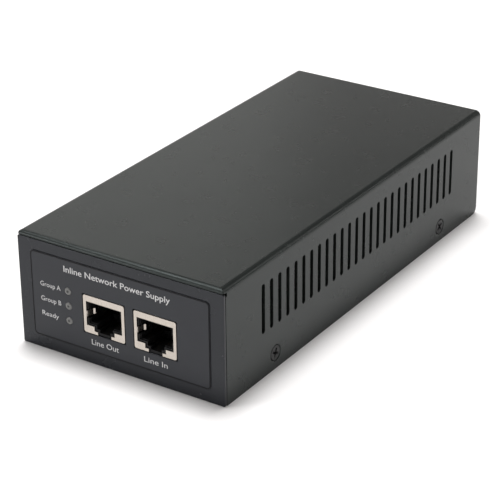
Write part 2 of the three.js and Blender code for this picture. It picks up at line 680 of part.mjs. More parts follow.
addMesh("cover_shell", coverShell(), powderCoat);
addMesh("base_tray", baseTray(), powderCoat);
addMesh("front_label", frontLabel(), labelFilm);
addCoverScrews();
addBoard();
addJacks();
addLights();
addBoardParts();
addInlet();
addWiring();

export default injector;
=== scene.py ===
"""PoE injector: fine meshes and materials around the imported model. Metres, in the model's frame."""
import json
import math

import bmesh
import bpy
from mathutils import Matrix, Vector


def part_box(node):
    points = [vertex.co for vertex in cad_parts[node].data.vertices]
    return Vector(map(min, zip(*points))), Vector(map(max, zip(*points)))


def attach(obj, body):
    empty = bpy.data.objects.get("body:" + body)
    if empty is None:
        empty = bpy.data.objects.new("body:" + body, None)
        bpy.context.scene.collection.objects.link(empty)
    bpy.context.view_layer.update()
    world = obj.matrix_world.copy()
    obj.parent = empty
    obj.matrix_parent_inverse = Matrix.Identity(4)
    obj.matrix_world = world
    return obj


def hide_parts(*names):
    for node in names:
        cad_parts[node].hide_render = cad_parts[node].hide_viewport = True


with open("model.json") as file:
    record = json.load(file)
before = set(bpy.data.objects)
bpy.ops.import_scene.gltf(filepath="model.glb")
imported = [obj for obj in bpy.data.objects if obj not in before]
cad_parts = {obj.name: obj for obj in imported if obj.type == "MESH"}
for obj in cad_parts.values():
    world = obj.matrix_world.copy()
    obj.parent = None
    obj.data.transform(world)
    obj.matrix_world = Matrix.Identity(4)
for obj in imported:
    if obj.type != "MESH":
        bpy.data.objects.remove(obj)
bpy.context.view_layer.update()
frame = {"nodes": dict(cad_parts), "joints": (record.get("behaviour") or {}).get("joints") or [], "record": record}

scene = bpy.context.scene
X, Y, Z = 0, 1, 2
MM = 0.001
SIDES = (-1, 1)


# ---- Camera ---------------------------------------------------------------------------------

CAMERA_TARGET = Vector((8.55, -22.95, 20.27)) * MM
CAMERA_DISTANCE = 644.1 * MM
CAMERA_AZIMUTH = math.radians(33.453)
CAMERA_ELEVATION = math.radians(26.22)
CAMERA_ROLL = math.radians(-0.496)
CAMERA_LENS = 137.27  # in millimetres, as the sensor
SENSOR_WIDTH = 36


def add_camera():
    data = bpy.data.cameras.new("camera")
    data.sensor_width = SENSOR_WIDTH
    data.lens = CAMERA_LENS
    data.clip_start = 50 * MM
    camera = bpy.data.objects.new("camera", data)
    scene.collection.objects.link(camera)
    flat = math.cos(CAMERA_ELEVATION)
    back = Vector((
        math.sin(CAMERA_AZIMUTH) * flat,
        -math.cos(CAMERA_AZIMUTH) * flat,
        math.sin(CAMERA_ELEVATION),
    ))
    camera.rotation_mode = "QUATERNION"
    turn = (-back).to_track_quat("-Z", "Y")
    camera.rotation_quaternion = turn @ Matrix.Rotation(CAMERA_ROLL, 3, "Z").to_quaternion()
    camera.location = CAMERA_TARGET + back * CAMERA_DISTANCE
    scene.camera = camera


add_camera()


# ---- Mesh tools -----------------------------------------------------------------------------


def arc(u, v, radius, start, end, steps):
    """Points on an arc about (u, v), angles in degrees."""
    turns = [math.radians(start + (end - start) * i / steps) for i in range(steps + 1)]
    return [(u + radius * math.cos(a), v + radius * math.sin(a)) for a in turns]


def rounded_rectangle(u0, u1, v0, v1, radius, steps=6):
    """An outline between two bounds each way, with that many steps in a corner."""
    return (
        arc(u1 - radius, v1 - radius, radius, 0, 90, steps)
        + arc(u0 + radius, v1 - radius, radius, 90, 180, steps)
        + arc(u0 + radius, v0 + radius, radius, 180, 270, steps)
        + arc(u1 - radius, v0 + radius, radius, 270, 360, steps)
    )


def prism(outline, axis, start, end):
    """A closed mesh: an outline in the two other axes, in X, Y, Z order, pushed along one."""
    across = [k for k in range(3) if k != axis]
    bm = bmesh.new()
    rings = []
    for place in (start, end):
        ring = []
        for u, v in outline:
            co = [0.0, 0.0, 0.0]
            co[across[0]] = u
            co[across[1]] = v
            co[axis] = place
            ring.append(bm.verts.new(co))
        rings.append(ring)
    for i in range(len(outline)):
        j = (i + 1) % len(outline)
        bm.faces.new((rings[0][i], rings[0][j], rings[1][j], rings[1][i]))
    for ring in rings:
        bm.faces.new(ring)
    bmesh.ops.recalc_face_normals(bm, faces=bm.faces)
    return bm


def block(x, y, z):
    """A box, each axis given as its two bounds."""
    return prism([(x[0], y[0]), (x[1], y[0]), (x[1], y[1]), (x[0], y[1])], Z, *z)


def turned(profile, segments):
    """A closed mesh of [radius, height] pairs about Z, from one point on the axis to another."""
    bm = bmesh.new()
    rings = []
    for radius, height in profile:
        if radius == 0:
            rings.append([bm.verts.new((0, 0, height))] * segments)
            continue
        turns = [2 * math.pi * i / segments for i in range(segments)]
        rings.append([
            bm.verts.new((radius * math.cos(a), radius * math.sin(a), height)) for a in turns
        ])
    for low, high in zip(rings, rings[1:]):
        for i in range(segments):
            j = (i + 1) % segments
            corners = [low[i], low[j], high[j], high[i]]
            bm.faces.new(list(dict.fromkeys(corners)))
    bmesh.ops.recalc_face_normals(bm, faces=bm.faces)
    return bm


def round_bar(axis, u, v, start, end, radius, end_radius=None, segments=32):
    """A round or tapered bar along one axis, centred on the other two coordinates."""
    end_radius = radius if end_radius is None else end_radius
    bm = turned([(0, start), (radius, start), (end_radius, end), (0, end)], segments)
    across = [k for k in range(3) if k != axis]
    for vert in bm.verts:
        a, b, along = vert.co
        vert.co[across[0]] = u + a
        vert.co[across[1]] = v + b
        vert.co[axis] = along
    bmesh.ops.recalc_face_normals(bm, faces=bm.faces)
    return bm


def together(meshes):
    """Several closed meshes that don't touch, as one."""
    whole = bmesh.new()
    for bm in meshes:
        part = bpy.data.meshes.new("part")
        bm.to_mesh(part)
        bm.free()
        whole.from_mesh(part)
        bpy.data.meshes.remove(part)
    return whole


def new_object(name, bm):
    mesh = bpy.data.meshes.new(name)
    bm.to_mesh(mesh)
    bm.free()
    made = bpy.data.objects.new(name, mesh)
    scene.collection.objects.link(made)
    return made


def taken_mesh(made):
    """Removes an object and gives its mesh back, to be used as a tool."""
    bm = bmesh.new()
    bm.from_mesh(made.data)
    bpy.data.objects.remove(made)
    return bm


def bake_modifiers(made):
    """Puts the modifiers' result in the object's own mesh."""
    bpy.context.view_layer.update()
    graph = bpy.context.evaluated_depsgraph_get()
    mesh = bpy.data.meshes.new_from_object(made.evaluated_get(graph))
    old = made.data
    made.modifiers.clear()
    made.data = mesh
    bpy.data.meshes.remove(old)
    mesh.name = made.name


def combine(made, bm, operation):
    """Cuts, joins or intersects an object with a mesh, and frees the mesh."""
    tool = new_object("tool", bm)
    change = made.modifiers.new("combine", "BOOLEAN")
    change.operation = operation
    change.solver = "EXACT"
    change.object = tool
    bake_modifiers(made)
    bpy.data.objects.remove(tool)


def cut(made, *meshes):
    for bm in meshes:
        combine(made, bm, "DIFFERENCE")


def join(made, *meshes):
    for bm in meshes:
        combine(made, bm, "UNION")


def clean(made):
    """Takes out the edges and points that cuts leave on flat faces."""
    bm = bmesh.new()
    bm.from_mesh(made.data)
    bmesh.ops.remove_doubles(bm, verts=bm.verts, dist=0.001 * MM)
    bmesh.ops.dissolve_limit(
        bm, angle_limit=math.radians(0.2), verts=bm.verts, edges=bm.edges
    )
    bm.to_mesh(made.data)
    bm.free()


def soften(made, width, segments=2, angle=35):
    """Rounds the hard edges and shades the rest smooth."""
    clean(made)
    bevel = made.modifiers.new("bevel", "BEVEL")
    bevel.width = width
    bevel.segments = segments
    bevel.limit_method = "ANGLE"
    bevel.angle_limit = math.radians(angle)
    bevel.use_clamp_overlap = True
    bevel.miter_outer = "MITER_ARC"
    bake_modifiers(made)
    made.data.shade_smooth()
    normals = made.modifiers.new("normals", "WEIGHTED_NORMAL")
    normals.keep_sharp = True
    bake_modifiers(made)


def finish_piece(made, material, body="case", stands_for=()):
    made.data.materials.clear()
    made.data.materials.append(material)
    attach(made, body)
    if stands_for:
        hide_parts(*stands_for)


# ---- Materials ------------------------------------------------------------------------------


class Surface:
    """A principled shader with its nodes laid in object space, whose units are metres."""

    def __init__(self, name, roughness, metallic=0.0):
        self.material = bpy.data.materials.new(name)
        self.material.use_nodes = True
        self.nodes = self.material.node_tree.nodes
        self.links = self.material.node_tree.links
        self.shader = self.nodes["Principled BSDF"]
        self.shader.inputs["Roughness"].default_value = roughness
        self.shader.inputs["Metallic"].default_value = metallic
        self.place = self.nodes.new("ShaderNodeTexCoord").outputs["Object"]

    def set(self, **values):
        for key, value in values.items():
            self.shader.inputs[key.replace("_", " ")].default_value = value

    def link(self, output, key):
        self.links.new(output, self.shader.inputs[key])

    def stretched(self, scale):
        """Object space, scaled along each axis."""
        mapping = self.nodes.new("ShaderNodeMapping")
        mapping.inputs["Scale"].default_value = scale
        self.links.new(self.place, mapping.inputs["Vector"])
        return mapping.outputs["Vector"]

    def noise(self, size, detail=3.0, place=None):
        """Noise whose blotches are about that many metres across."""
        node = self.nodes.new("ShaderNodeTexNoise")
        node.inputs["Scale"].default_value = 1 / size
        node.inputs["Detail"].default_value = detail
        self.links.new(place or self.place, node.inputs["Vector"])
        return node.outputs["Fac"]

    def streaks(self, axis, size, detail, squeeze):
        """Noise drawn out into lines along an axis."""
        scale = [1.0, 1.0, 1.0]
        scale[axis] = squeeze
        return self.noise(size, detail, self.stretched(scale))

    def ramp(self, value, *stops):
        """Colours or greys by value: (position, colour) pairs."""
        node = self.nodes.new("ShaderNodeValToRGB")
        elements = node.color_ramp.elements
        while len(elements) < len(stops):
            elements.new(0.5)
        for element, (position, color) in zip(elements, stops):
            element.position = position
            element.color = (*color, 1) if isinstance(color, tuple) else (color,) * 3 + (1,)
        self.links.new(value, node.inputs["Fac"])
        return node.outputs["Color"]

    def mottle(self, color, size, spread):
        """Base colour that drifts a little darker and lighter."""
        dark = tuple(c * (1 - spread) for c in color)
        light = tuple(min(1.0, c * (1 + spread)) for c in color)
        self.link(self.ramp(self.noise(size), (0.3, dark), (0.7, light)), "Base Color")

    def paint_crevice_shade(self, reach):
        """Painted shade: the base colour made darker in recesses about that deep."""
        node = self.nodes.new("ShaderNodeAmbientOcclusion")
        node.samples = 8
        node.inputs["Distance"].default_value = reach
        shade = self.ramp(node.outputs["AO"], (0.45, 0.02), (0.85, 1.0))
        mix = self.nodes.new("ShaderNodeMix")
        mix.data_type = "RGBA"
        mix.blend_type = "MULTIPLY"
        mix.inputs["Factor"].default_value = 1.0
        color = self.shader.inputs["Base Color"].links[0].from_socket
        self.links.new(color, mix.inputs["A"])
        self.links.new(shade, mix.inputs["B"])
        self.link(mix.outputs["Result"], "Base Color")

    def vary_roughness(self, size, low, high):
        self.link(self.ramp(self.noise(size, 4.0), (0.3, low), (0.7, high)), "Roughness")

    def bump(self, height, distance, strength=1.0):
        """Adds a relief of that height, on top of the ones before it."""
        node = self.nodes.new("ShaderNodeBump")
        node.inputs["Strength"].default_value = strength
        node.inputs["Distance"].default_value = distance
        self.links.new(height, node.inputs["Height"])
        before = self.shader.inputs["Normal"].links
        if before:
            self.links.new(before[0].from_socket, node.inputs["Normal"])
        self.link(node.outputs["Normal"], "Normal")


def powder_coat(name, color, sheen, gloss):
    """Polyester powder on steel: fine pebbles, and a gloss that drifts a little."""
    s = Surface(name, 0.26)
    s.set(Specular_IOR_Level=gloss, Specular_Tint=(*sheen, 1))
    s.mottle(color, 18 * MM, 0.08)
    s.vary_roughness(6 * MM, 0.24, 0.28)
    s.bump(s.noise(0.35 * MM, 2.0), 0.003 * MM)
    return s.material


def label_film():
    """Matt polycarbonate film over a printed blue-grey."""
    s = Surface("label_film", 0.38)
    s.set(Specular_IOR_Level=0.325)
    s.mottle((0.0183, 0.0207, 0.0263), 9 * MM, 0.05)
    s.bump(s.noise(0.12 * MM, 2.0), 0.002 * MM)
    return s.material


def ink(name, color, gloss=0.5):
    """Matt screen-printing ink."""
    s = Surface(name, 0.6)
    s.set(Specular_IOR_Level=gloss)
    s.mottle(color, 0.5 * MM, 0.08)
    s.bump(s.noise(0.1 * MM), 0.001 * MM)
    return s.material


def plated(name, color, roughness, grain):
    """Plated sheet or pin, with fine rolling marks along one axis."""
    s = Surface(name, roughness, 1.0)
    s.mottle(color, 2.5 * MM, 0.05)
    lines = s.streaks(grain, 0.08 * MM, 3.0, 0.04)
    s.link(s.ramp(lines, (0.3, roughness * 0.8), (0.7, roughness * 1.25)), "Roughness")
    s.bump(lines, 0.001 * MM)
    return s.material


def moulded(name, color, roughness, pebble, gloss=0.5):
    """Injection-moulded plastic with a fine spark-eroded grain."""
    s = Surface(name, roughness)
    s.set(Specular_IOR_Level=gloss)
    s.mottle(color, 4 * MM, 0.1)
    s.vary_roughness(1.5 * MM, roughness * 0.92, roughness * 1.08)
    s.bump(s.noise(pebble, 2.0), 0.004 * MM)
    return s.material


def black_zinc():
    """Blackened steel screw, worn a little brighter in patches."""
    s = Surface("black_screw", 0.42, 0.7)
    s.link(
        s.ramp(s.noise(0.9 * MM, 5.0), (0.4, (0.02, 0.021, 0.022)), (0.75, (0.06, 0.06, 0.06))),
        "Base Color",
    )
    # Painted shade: the screw's colour goes darker in its cross recess and in the ring round its head.
    s.paint_crevice_shade(1.0 * MM)
    s.vary_roughness(0.6 * MM, 0.34, 0.5)
    s.bump(s.noise(0.2 * MM), 0.002 * MM)
    return s.material


def light_lens(centres):
    """Milky lens with the dark cup of the chip behind its middle."""
    s = Surface("light_lens", 0.34)
    s.set(Subsurface_Weight=0.15, Subsurface_Radius=(0.6 * MM,) * 3, Coat_Weight=0.5)
    flat = s.stretched((1, 0, 1))
    nearest = None
    for centre in centres:
        offset = s.nodes.new("ShaderNodeVectorMath")
        offset.operation = "DISTANCE"
        s.links.new(flat, offset.inputs[0])
        offset.inputs[1].default_value = (centre.x, 0, centre.z)
        distance = offset.outputs["Value"]
        if nearest is None:
            nearest = distance
            continue
        pick = s.nodes.new("ShaderNodeMath")
        pick.operation = "MINIMUM"
        s.links.new(nearest, pick.inputs[0])
        s.links.new(distance, pick.inputs[1])
        nearest = pick.outputs["Value"]
    share = s.nodes.new("ShaderNodeMath")
    share.operation = "DIVIDE"
    share.inputs[1].default_value = LIGHT_RADIUS
    s.links.new(nearest, share.inputs[0])
    s.link(
        s.ramp(
            share.outputs["Value"],
            (0.2, (0.03, 0.03, 0.03)),
            (0.42, (0.105, 0.108, 0.102)),
            (0.85, (0.11, 0.112, 0.108)),
            (1.0, (0.1, 0.101, 0.098)),
        ),
        "Base Color",
    )
    s.bump(s.noise(0.3 * MM), 0.002 * MM)
    return s.material


def circuit_board():
    """Green solder mask over copper, with a few runs of track showing through."""
    s = Surface("circuit_board", 0.32)
    bricks = s.nodes.new("ShaderNodeTexBrick")
    bricks.inputs["Scale"].default_value = 1 / (22 * MM)
    bricks.inputs["Mortar Size"].default_value = 0.02
    bricks.inputs["Color1"].default_value = (0.012, 0.08, 0.035, 1)
    bricks.inputs["Color2"].default_value = (0.014, 0.1, 0.042, 1)
    bricks.inputs["Mortar"].default_value = (0.03, 0.16, 0.06, 1)
    s.links.new(s.place, bricks.inputs["Vector"])
    s.link(bricks.outputs["Color"], "Base Color")
    s.bump(bricks.outputs["Fac"], 0.02 * MM, 0.6)
    s.bump(s.noise(0.3 * MM), 0.002 * MM)
    return s.material


def winding(name, color, pitch, axis):
    """Close turns of wire or tape, one every pitch along an axis."""
    band = 0.314  # the wave texture's own pitch, at scale 1
    s = Surface(name, 0.35)
    s.mottle(color, 3 * MM, 0.15)
    wave = s.nodes.new("ShaderNodeTexWave")
    wave.wave_type = "BANDS"
    wave.bands_direction = axis
    wave.inputs["Scale"].default_value = band / pitch
    wave.inputs["Distortion"].default_value = 0.4
    s.links.new(s.place, wave.inputs["Vector"])
    s.bump(wave.outputs["Fac"], 0.12 * MM)
    return s.material


def streaked_metal(name, color, roughness, axis):
    """Extruded, turned or drawn metal with streaks along an axis."""
    s = Surface(name, roughness, 1.0)
    s.mottle(color, 6 * MM, 0.07)
    lines = s.streaks(axis, 0.2 * MM, 4.0, 0.03)
    s.link(s.ramp(lines, (0.3, roughness * 0.75), (0.7, roughness * 1.25)), "Roughness")
    s.bump(lines, 0.004 * MM)
    return s.material


def fibrous(name, color, roughness):
    """Pressed paper: a mottled colour over short fibres."""
    s = Surface(name, roughness)
    s.mottle(color, 1.2 * MM, 0.12)
    s.bump(s.noise(0.15 * MM, 5.0), 0.01 * MM)
    return s.material


# ---- Sizes shared by the pieces -------------------------------------------------------------

SHEET = 1.0 * MM
SIDE_GAP = 0.25 * MM
PANEL_CORNER = 0.6 * MM
BEND_RADIUS = 2.0 * MM
LIP_RADIUS = 1.5 * MM
LIP_INSET = 0.5 * MM
PAST = 1.0 * MM  # how far a cutting tool stands out of what it cuts
SLOTS = 27
SLOT_PITCH = 4.8 * MM
SLOT_WIDTH = 1.9 * MM
SLOT_SHIFT = -0.1 * MM  # of the row's middle from the cover's
SLOT_Z = (15.95 * MM, 33.5 * MM)
SINK_RADIUS = 3.05 * MM
SCREW_HOLE = 1.65 * MM  # radius in the tray, for the cover's and the earth screws
JACK_SHEET = 0.25 * MM
LIGHT_RADIUS = 1.35 * MM
LIGHT_GAP = 0.05 * MM
INLET_HALF = 13.6 * MM  # of the inlet's body behind its flange
INLET_RISE = 9.9 * MM
INLET_SCREW_HOLE = 1.75 * MM
EDGE = 0.13 * MM  # rounding of the painted sheet's edges

cover_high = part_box("cover_shell")[1]
tray_low, tray_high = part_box("base_tray")
label_low, label_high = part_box("front_label")
front = tray_low.y
rear = cover_high.y
half = cover_high.x
inner = half - SHEET
height = cover_high.z
front_panel_top = tray_high.z - 0.6 * MM
middle = (front + rear) / 2


def centre_of(node):
    low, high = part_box(node)
    return (low + high) / 2


screw_nodes = [f"cover_screw_{i}" for i in range(1, 5)]
screw_turns = (15, -35, -22, 32)  # of their heads, in degrees
light_nodes = [f"status_light_{i}" for i in range(1, 4)]
jack_numbers = (1, 2)
pin_names = ("line", "neutral", "earth")
inlet_screw_numbers = (1, 2)
inlet_screw_turns = (12, -28)


# ---- Cover ----------------------------------------------------------------------------------


def cover_section(filled):
    """The cover across the case, as a folded sheet or as its filled outline."""
    bend_x = half - BEND_RADIUS
    bend_z = height - BEND_RADIUS
    outer = arc(bend_x, bend_z, BEND_RADIUS, 0, 90, 10) + arc(
        -bend_x, bend_z, BEND_RADIUS, 90, 180, 10
    )
    outline = [(half, 0), *outer, (-half, 0)]
    if filled:
        return outline
    radius = BEND_RADIUS - SHEET
    inside = arc(-bend_x, bend_z, radius, 180, 90, 10) + arc(bend_x, bend_z, radius, 90, 0, 10)
    return [*outline, (-inner, 0), *inside, (inner, 0)]


def lip_section(filled, end):
    """The front lip from the side: the top sheet turned down to a height, or filled."""
    y = front + LIP_RADIUS
    z = height - LIP_RADIUS
    outline = [*arc(y, z, LIP_RADIUS, 90, 180, 10), (front, end)]
    if filled:
        return [*outline, (y, end)]
    inside = arc(y, z, LIP_RADIUS - SHEET, 180, 90, 6)
    return [*outline, (front + SHEET, end), *inside]


def countersink(axis, u, v, face, side, deep):
    """A cone that widens at 45 degrees out of a face, whose outer side is + or - 1."""
    return round_bar(
        axis, u, v, face - side * deep, face + side * PAST, SINK_RADIUS - deep,
        SINK_RADIUS + PAST,
    )


def cover_countersinks():
    """Cones through both sides for the four cover screws."""
    cones = []
    for node in screw_nodes:
        centre = centre_of(node)
        side = math.copysign(1, centre.x)
        cones.append(
            countersink(X, centre.y, centre.z, side * half, side, SHEET + 0.2 * MM)
        )
    return together(cones)


def vent_slots(side):
    """The row of round-ended slots through one side."""
    first = middle + SLOT_SHIFT - (SLOTS - 1) / 2 * SLOT_PITCH
    slots = []
    for i in range(SLOTS):
        y = first + i * SLOT_PITCH
        radius = SLOT_WIDTH / 2
        outline = (
            arc(y, SLOT_Z[1] - radius, radius, 0, 180, 8)
            + arc(y, SLOT_Z[0] + radius, radius, 180, 360, 8)
        )
        slots.append(prism(outline, X, side * (inner - PAST), side * (half + PAST)))
    return together(slots)


def make_cover(material):
    """Top and sides in one folded sheet, with the lip turned down over the front panel."""
    sheet_start = front + SHEET + SIDE_GAP
    corner_start = front + 0.5 * MM
    lip_half = half - LIP_INSET
    lip_end = height - LIP_RADIUS - 0.1 * MM
    cover = new_object("cover", prism(cover_section(False), Y, sheet_start, rear))

    lip = new_object("lip", prism(lip_section(False, lip_end), X, -lip_half, lip_half))
    combine(lip, prism(cover_section(True), Y, front - PAST, rear), "INTERSECT")
    fronts = [lip]
    for side in SIDES:
        corner = new_object("corner", block(
            sorted((side * lip_half, side * half)), (corner_start, sheet_start),
            (lip_end, height),
        ))
        combine(corner, prism(cover_section(False), Y, front, rear), "INTERSECT")
        combine(corner, prism(lip_section(True, lip_end), X, -half, half), "INTERSECT")
        fronts.append(corner)
    for part in fronts:
        join(cover, taken_mesh(part))

    corner_radius = 2.5 * MM
    low_corner = [
        (rear + PAST, -PAST),
        (rear + PAST, corner_radius),
        *arc(rear - corner_radius, corner_radius, corner_radius, 0, -90, 8),
        (rear - corner_radius, -PAST),
    ]
    cut(cover, prism(low_corner, X, -half - PAST, half + PAST))
    relief_y = (front + 0.9 * MM, front + 1.9 * MM)
    relief_low = 37.95 * MM
    relief_deep = 1.5 * MM
    relief = rounded_rectangle(*relief_y, relief_low, lip_end, 0.45 * MM)
    for side in SIDES:
        cut(
            cover,
            prism(relief, X, side * (half - relief_deep), side * (half + PAST)),
            vent_slots(side),
        )
    cut(cover, cover_countersinks())
    soften(cover, EDGE)
    finish_piece(cover, material, stands_for=["cover_shell"])


# ---- Tray -----------------------------------------------------------------------------------


def jack_cutout(number, margin, y):
    """A block round one jack, with a margin on all four sides, between two places on Y."""
    low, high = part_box(f"jack_{number}_shield")
    return block(
        (low.x - margin, high.x + margin), y, (low.z - margin, high.z + margin)
    )


def light_holes(y):
    """Bars for the status lights' holes, between two places on Y."""
    holes = []
    for node in light_nodes:
        centre = centre_of(node)
        holes.append(round_bar(Y, centre.x, centre.z, *y, LIGHT_RADIUS + LIGHT_GAP))
    return together(holes)


def make_tray(material):
    """Front panel, bottom, rear panel and side flanges, folded from one sheet."""
    tray_half = inner - 0.3 * MM
    flange_y = (front + 4 * MM, rear - 6 * MM)
    flange_top = 13 * MM
    back = tray_high.y
    panel = rounded_rectangle(-half, half, 0, front_panel_top, PANEL_CORNER, 4)
    tray = new_object("tray", prism(panel, Y, front, front + SHEET))
    join(
        tray,
        block((-tray_half, tray_half), (front, back), (0, SHEET)),
        block((-tray_half, tray_half), (back - SHEET, back), (0, tray_high.z)),
    )
    for side in SIDES:
        wall = sorted((side * tray_half, side * (tray_half - SHEET)))
        join(tray, block(wall, flange_y, (0, flange_top)))
    through = (front - PAST, front + SHEET + PAST)
    for number in jack_numbers:
        cut(tray, jack_cutout(number, 0.25 * MM, through))
    cut(tray, light_holes(through))
    rear_through = (back - SHEET - PAST, back + PAST)
    low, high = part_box("inlet_body")
    gap = 0.3 * MM
    opening_half = INLET_HALF + gap
    opening_rise = INLET_RISE + gap
    z = (low.z + high.z) / 2
    cut(tray, block(
        (-opening_half, opening_half), rear_through, (z - opening_rise, z + opening_rise)
    ))
    for number in inlet_screw_numbers:
        centre = centre_of(f"inlet_screw_{number}")
        cut(tray, round_bar(Y, centre.x, centre.z, *rear_through, INLET_SCREW_HOLE))
    for node in screw_nodes:
        centre = centre_of(node)
        side = math.copysign(1, centre.x)
        cut(tray, round_bar(
            X, centre.y, centre.z, side * (inner - 3 * MM), side * (inner + PAST), SCREW_HOLE
        ))
    earth = centre_of("earth_screw")
    cut(tray, round_bar(Z, earth.x, earth.y, -PAST, SHEET + PAST, SCREW_HOLE))
    soften(tray, EDGE)
    finish_piece(tray, material, stands_for=["base_tray"])


# ---- Label ----------------------------------------------------------------------------------

LABEL_RADIUS = 1.5 * MM
BORDER = 0.42 * MM
INK_HEIGHT = 0.02 * MM
FONT_CAP_HEIGHT = 0.73  # of the built-in font, at size 1
# words, and how wide they are set
HEADLINE = ("Inline Network Power Supply", 41.5 * MM)
LIGHT_CAPTIONS = (("Group A", 8.2 * MM), ("Group B", 8.2 * MM), ("Ready", 6.8 * MM))
JACK_CAPTIONS = (("Line Out", 10.8 * MM), ("Line In", 9.1 * MM))


def label_outline(inset, radius):
    """The label's rounded edge, drawn in by an inset."""
    return rounded_rectangle(
        label_low.x + inset, label_high.x - inset, label_low.z + inset, label_high.z - inset,
        radius,
    )


def make_label(material):
    """The overlay's film, cut out round the jacks and the lights."""
    label = new_object("label", prism(label_outline(0, LABEL_RADIUS), Y, label_low.y, front))
    through = (label_low.y - PAST, front + PAST)
    for number in jack_numbers:
        cut(label, jack_cutout(number, 0.35 * MM, through))
    cut(label, light_holes(through))
    soften(label, 0.05 * MM, 1)
    finish_piece(label, material, stands_for=["front_label"])


def add_border(material):
    """A dark line round the label's edge."""
    edge = 0.05 * MM
    face = label_low.y - INK_HEIGHT
    border = new_object(
        "label_border", prism(label_outline(edge, LABEL_RADIUS), Y, face, label_low.y)
    )
    inside = label_outline(edge + BORDER, LABEL_RADIUS - BORDER)
    cut(border, prism(inside, Y, face - PAST, label_low.y + PAST))
    clean(border)
    finish_piece(border, material)


def add_captions(material):
    """The headline, and the words beside the lights and under the jacks."""
    words, width = HEADLINE
    place = (-0.75 * MM, 31.9 * MM)
    add_caption("headline", words, place, 2.25 * MM, width, material, bold=0.008)
    lights = [centre_of(node) for node in light_nodes]
    left = lights[0].x - 11.3 * MM
    for light, (words, width) in zip(lights, LIGHT_CAPTIONS):
        name = f"caption_{words.replace(' ', '_')}"
        place = (left, light.z + 0.2 * MM)
        add_caption(name, words, place, 1.75 * MM, width, material, align="LEFT")
    for number, (words, width) in zip(jack_numbers, JACK_CAPTIONS):
        name = f"caption_{words.replace(' ', '_')}"
        place = (centre_of(f"jack_{number}_shield").x, 8.4 * MM)
        add_caption(name, words, place, 2.05 * MM, width, material)


def add_caption(name, words, place, cap_height, width, material, align="CENTER", bold=0.0):
    """Printed words on the label, with the middle of their capitals at place, an X and Z."""
    curve = bpy.data.curves.new(name, "FONT")
    curve.body = words
    curve.size = cap_height / FONT_CAP_HEIGHT
    curve.offset = bold * curve.size
    curve.align_x = align
    curve.resolution_u = 4
    curve.extrude = INK_HEIGHT / 2
    curve.fill_mode = "BOTH"
    source = bpy.data.objects.new(name, curve)
    scene.collection.objects.link(source)
    bpy.context.view_layer.update()
    graph = bpy.context.evaluated_depsgraph_get()
    mesh = bpy.data.meshes.new_from_object(source.evaluated_get(graph))
    bpy.data.objects.remove(source)
    across = [v.co.x for v in mesh.vertices]
    stretch = width / (max(across) - min(across))
    upright = Matrix.Rotation(math.pi / 2, 4, "X")
    base = Vector((place[0], label_low.y - INK_HEIGHT / 2, place[1] - cap_height / 2))
    mesh.transform(Matrix.Translation(base) @ upright @ Matrix.Diagonal((stretch, 1, 1, 1)))
    bm = bmesh.new()
    bm.from_mesh(mesh)
    bmesh.ops.remove_doubles(bm, verts=bm.verts, dist=0.0005 * MM)
    bmesh.ops.recalc_face_normals(bm, faces=bm.faces)
    made = new_object(name, bm)
    finish_piece(made, material)


# ---- Network jacks --------------------------------------------------------------------------


def stepped_outline(x, half_width, top, bottom, *steps):
    """A plug opening with narrower steps under it, each (half width, bottom)."""
    right = [(x + half_width, top), (x + half_width, bottom)]
    level = bottom
    for step_half, step_bottom in steps:
        right += [(x + step_half, level), (x + step_half, step_bottom)]
        level = step_bottom
    left = [(2 * x - u, v) for u, v in reversed(right)]
    return right + left


def jack_shield(number, material):
    """Folded nickel-plated sheet with a stepped window and two grounding fingers."""
    low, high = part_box(f"jack_{number}_shield")
    x = (low.x + high.x) / 2
    base = low.z
    shield = new_object(
        f"jack_{number}_shield_sheet",
        prism(rounded_rectangle(low.x, high.x, base, high.z, 0.7 * MM), Y, low.y, high.y),
    )
    hollow = rounded_rectangle(
        low.x + JACK_SHEET, high.x - JACK_SHEET, base - PAST, high.z - JACK_SHEET, 0.45 * MM, 4
    )
    window_half = 7.0 * MM
    window_top = 22.55 * MM
    window_low = 13.95 * MM
    steps = ((4.0 * MM, 12.35 * MM), (2.68 * MM, base - PAST))
    window = stepped_outline(x, window_half, window_top, window_low, *steps)
    cut(
        shield,
        prism(hollow, Y, low.y + JACK_SHEET, high.y - JACK_SHEET),
        prism(window, Y, low.y - PAST, low.y + PAST),
    )
    finger_root = 7.1 * MM
    finger_z = (16.9 * MM, 18.9 * MM)
    inward = [(6.98, 0.1), (6.8, 0.3), (6.65, 0.9), (6.25, 2.7), (5.72, 3.1), (5.72, 3.6),
              (5.85, 5.2)]
    outward = [(6.05, 5.1), (5.94, 3.65), (5.94, 3.25), (6.3, 2.9), (6.8, 1.0), (6.97, 0.45)]
    section = [
        (finger_root, 0),
        *((u * MM, v * MM) for u, v in inward + outward),
        (finger_root, JACK_SHEET),
    ]
    for side in SIDES:
        outline = [(x + side * u, low.y + v) for u, v in section]
        join(shield, prism(outline, Z, *finger_z))
    soften(shield, 0.07 * MM)
    finish_piece(shield, material, stands_for=[f"jack_{number}_shield"])


